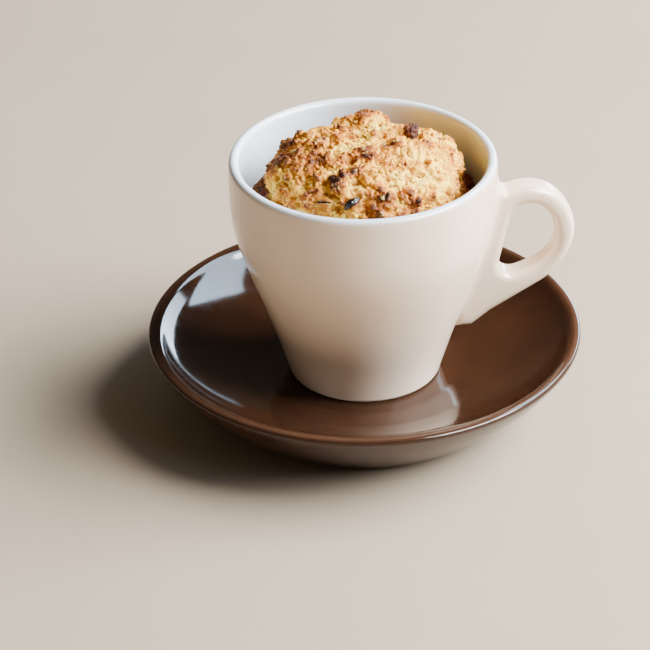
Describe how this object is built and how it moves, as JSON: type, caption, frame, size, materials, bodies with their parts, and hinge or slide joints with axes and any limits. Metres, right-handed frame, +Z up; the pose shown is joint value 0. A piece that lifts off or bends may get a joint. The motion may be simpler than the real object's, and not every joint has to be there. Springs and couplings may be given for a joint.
{
  "type": "bread pudding in a cup",
  "caption": "Golden, craggy bread pudding with raisins, baked in a cream stoneware cup with a looped ear, standing on a deep dark brown saucer.",
  "frame": {"origin": "centre of the saucer's foot, on the surface it stands on", "axes": "+Z up, out of the cup; +X from the cup's axis to its ear; +Y completes a right-handed frame"},
  "size_m": [0.142, 0.142, 0.0957],
  "materials": {
    "saucer_glaze": "dark chocolate-brown glossy glaze",
    "cup_glaze": "cream glossy glaze outside, white glossy glaze on the rim and inside",
    "crumb": null,
    "raisin": "wrinkled, nearly black, slightly shiny dried fruit skin"
  },
  "bodies": {
    "root": {"saucer": "saucer_glaze", "cup": "cup_glaze", "pudding": "crumb", "raisin_front": "raisin", "raisin_left": "raisin", "raisin_top": "raisin"}
  },
  "joints": []
}
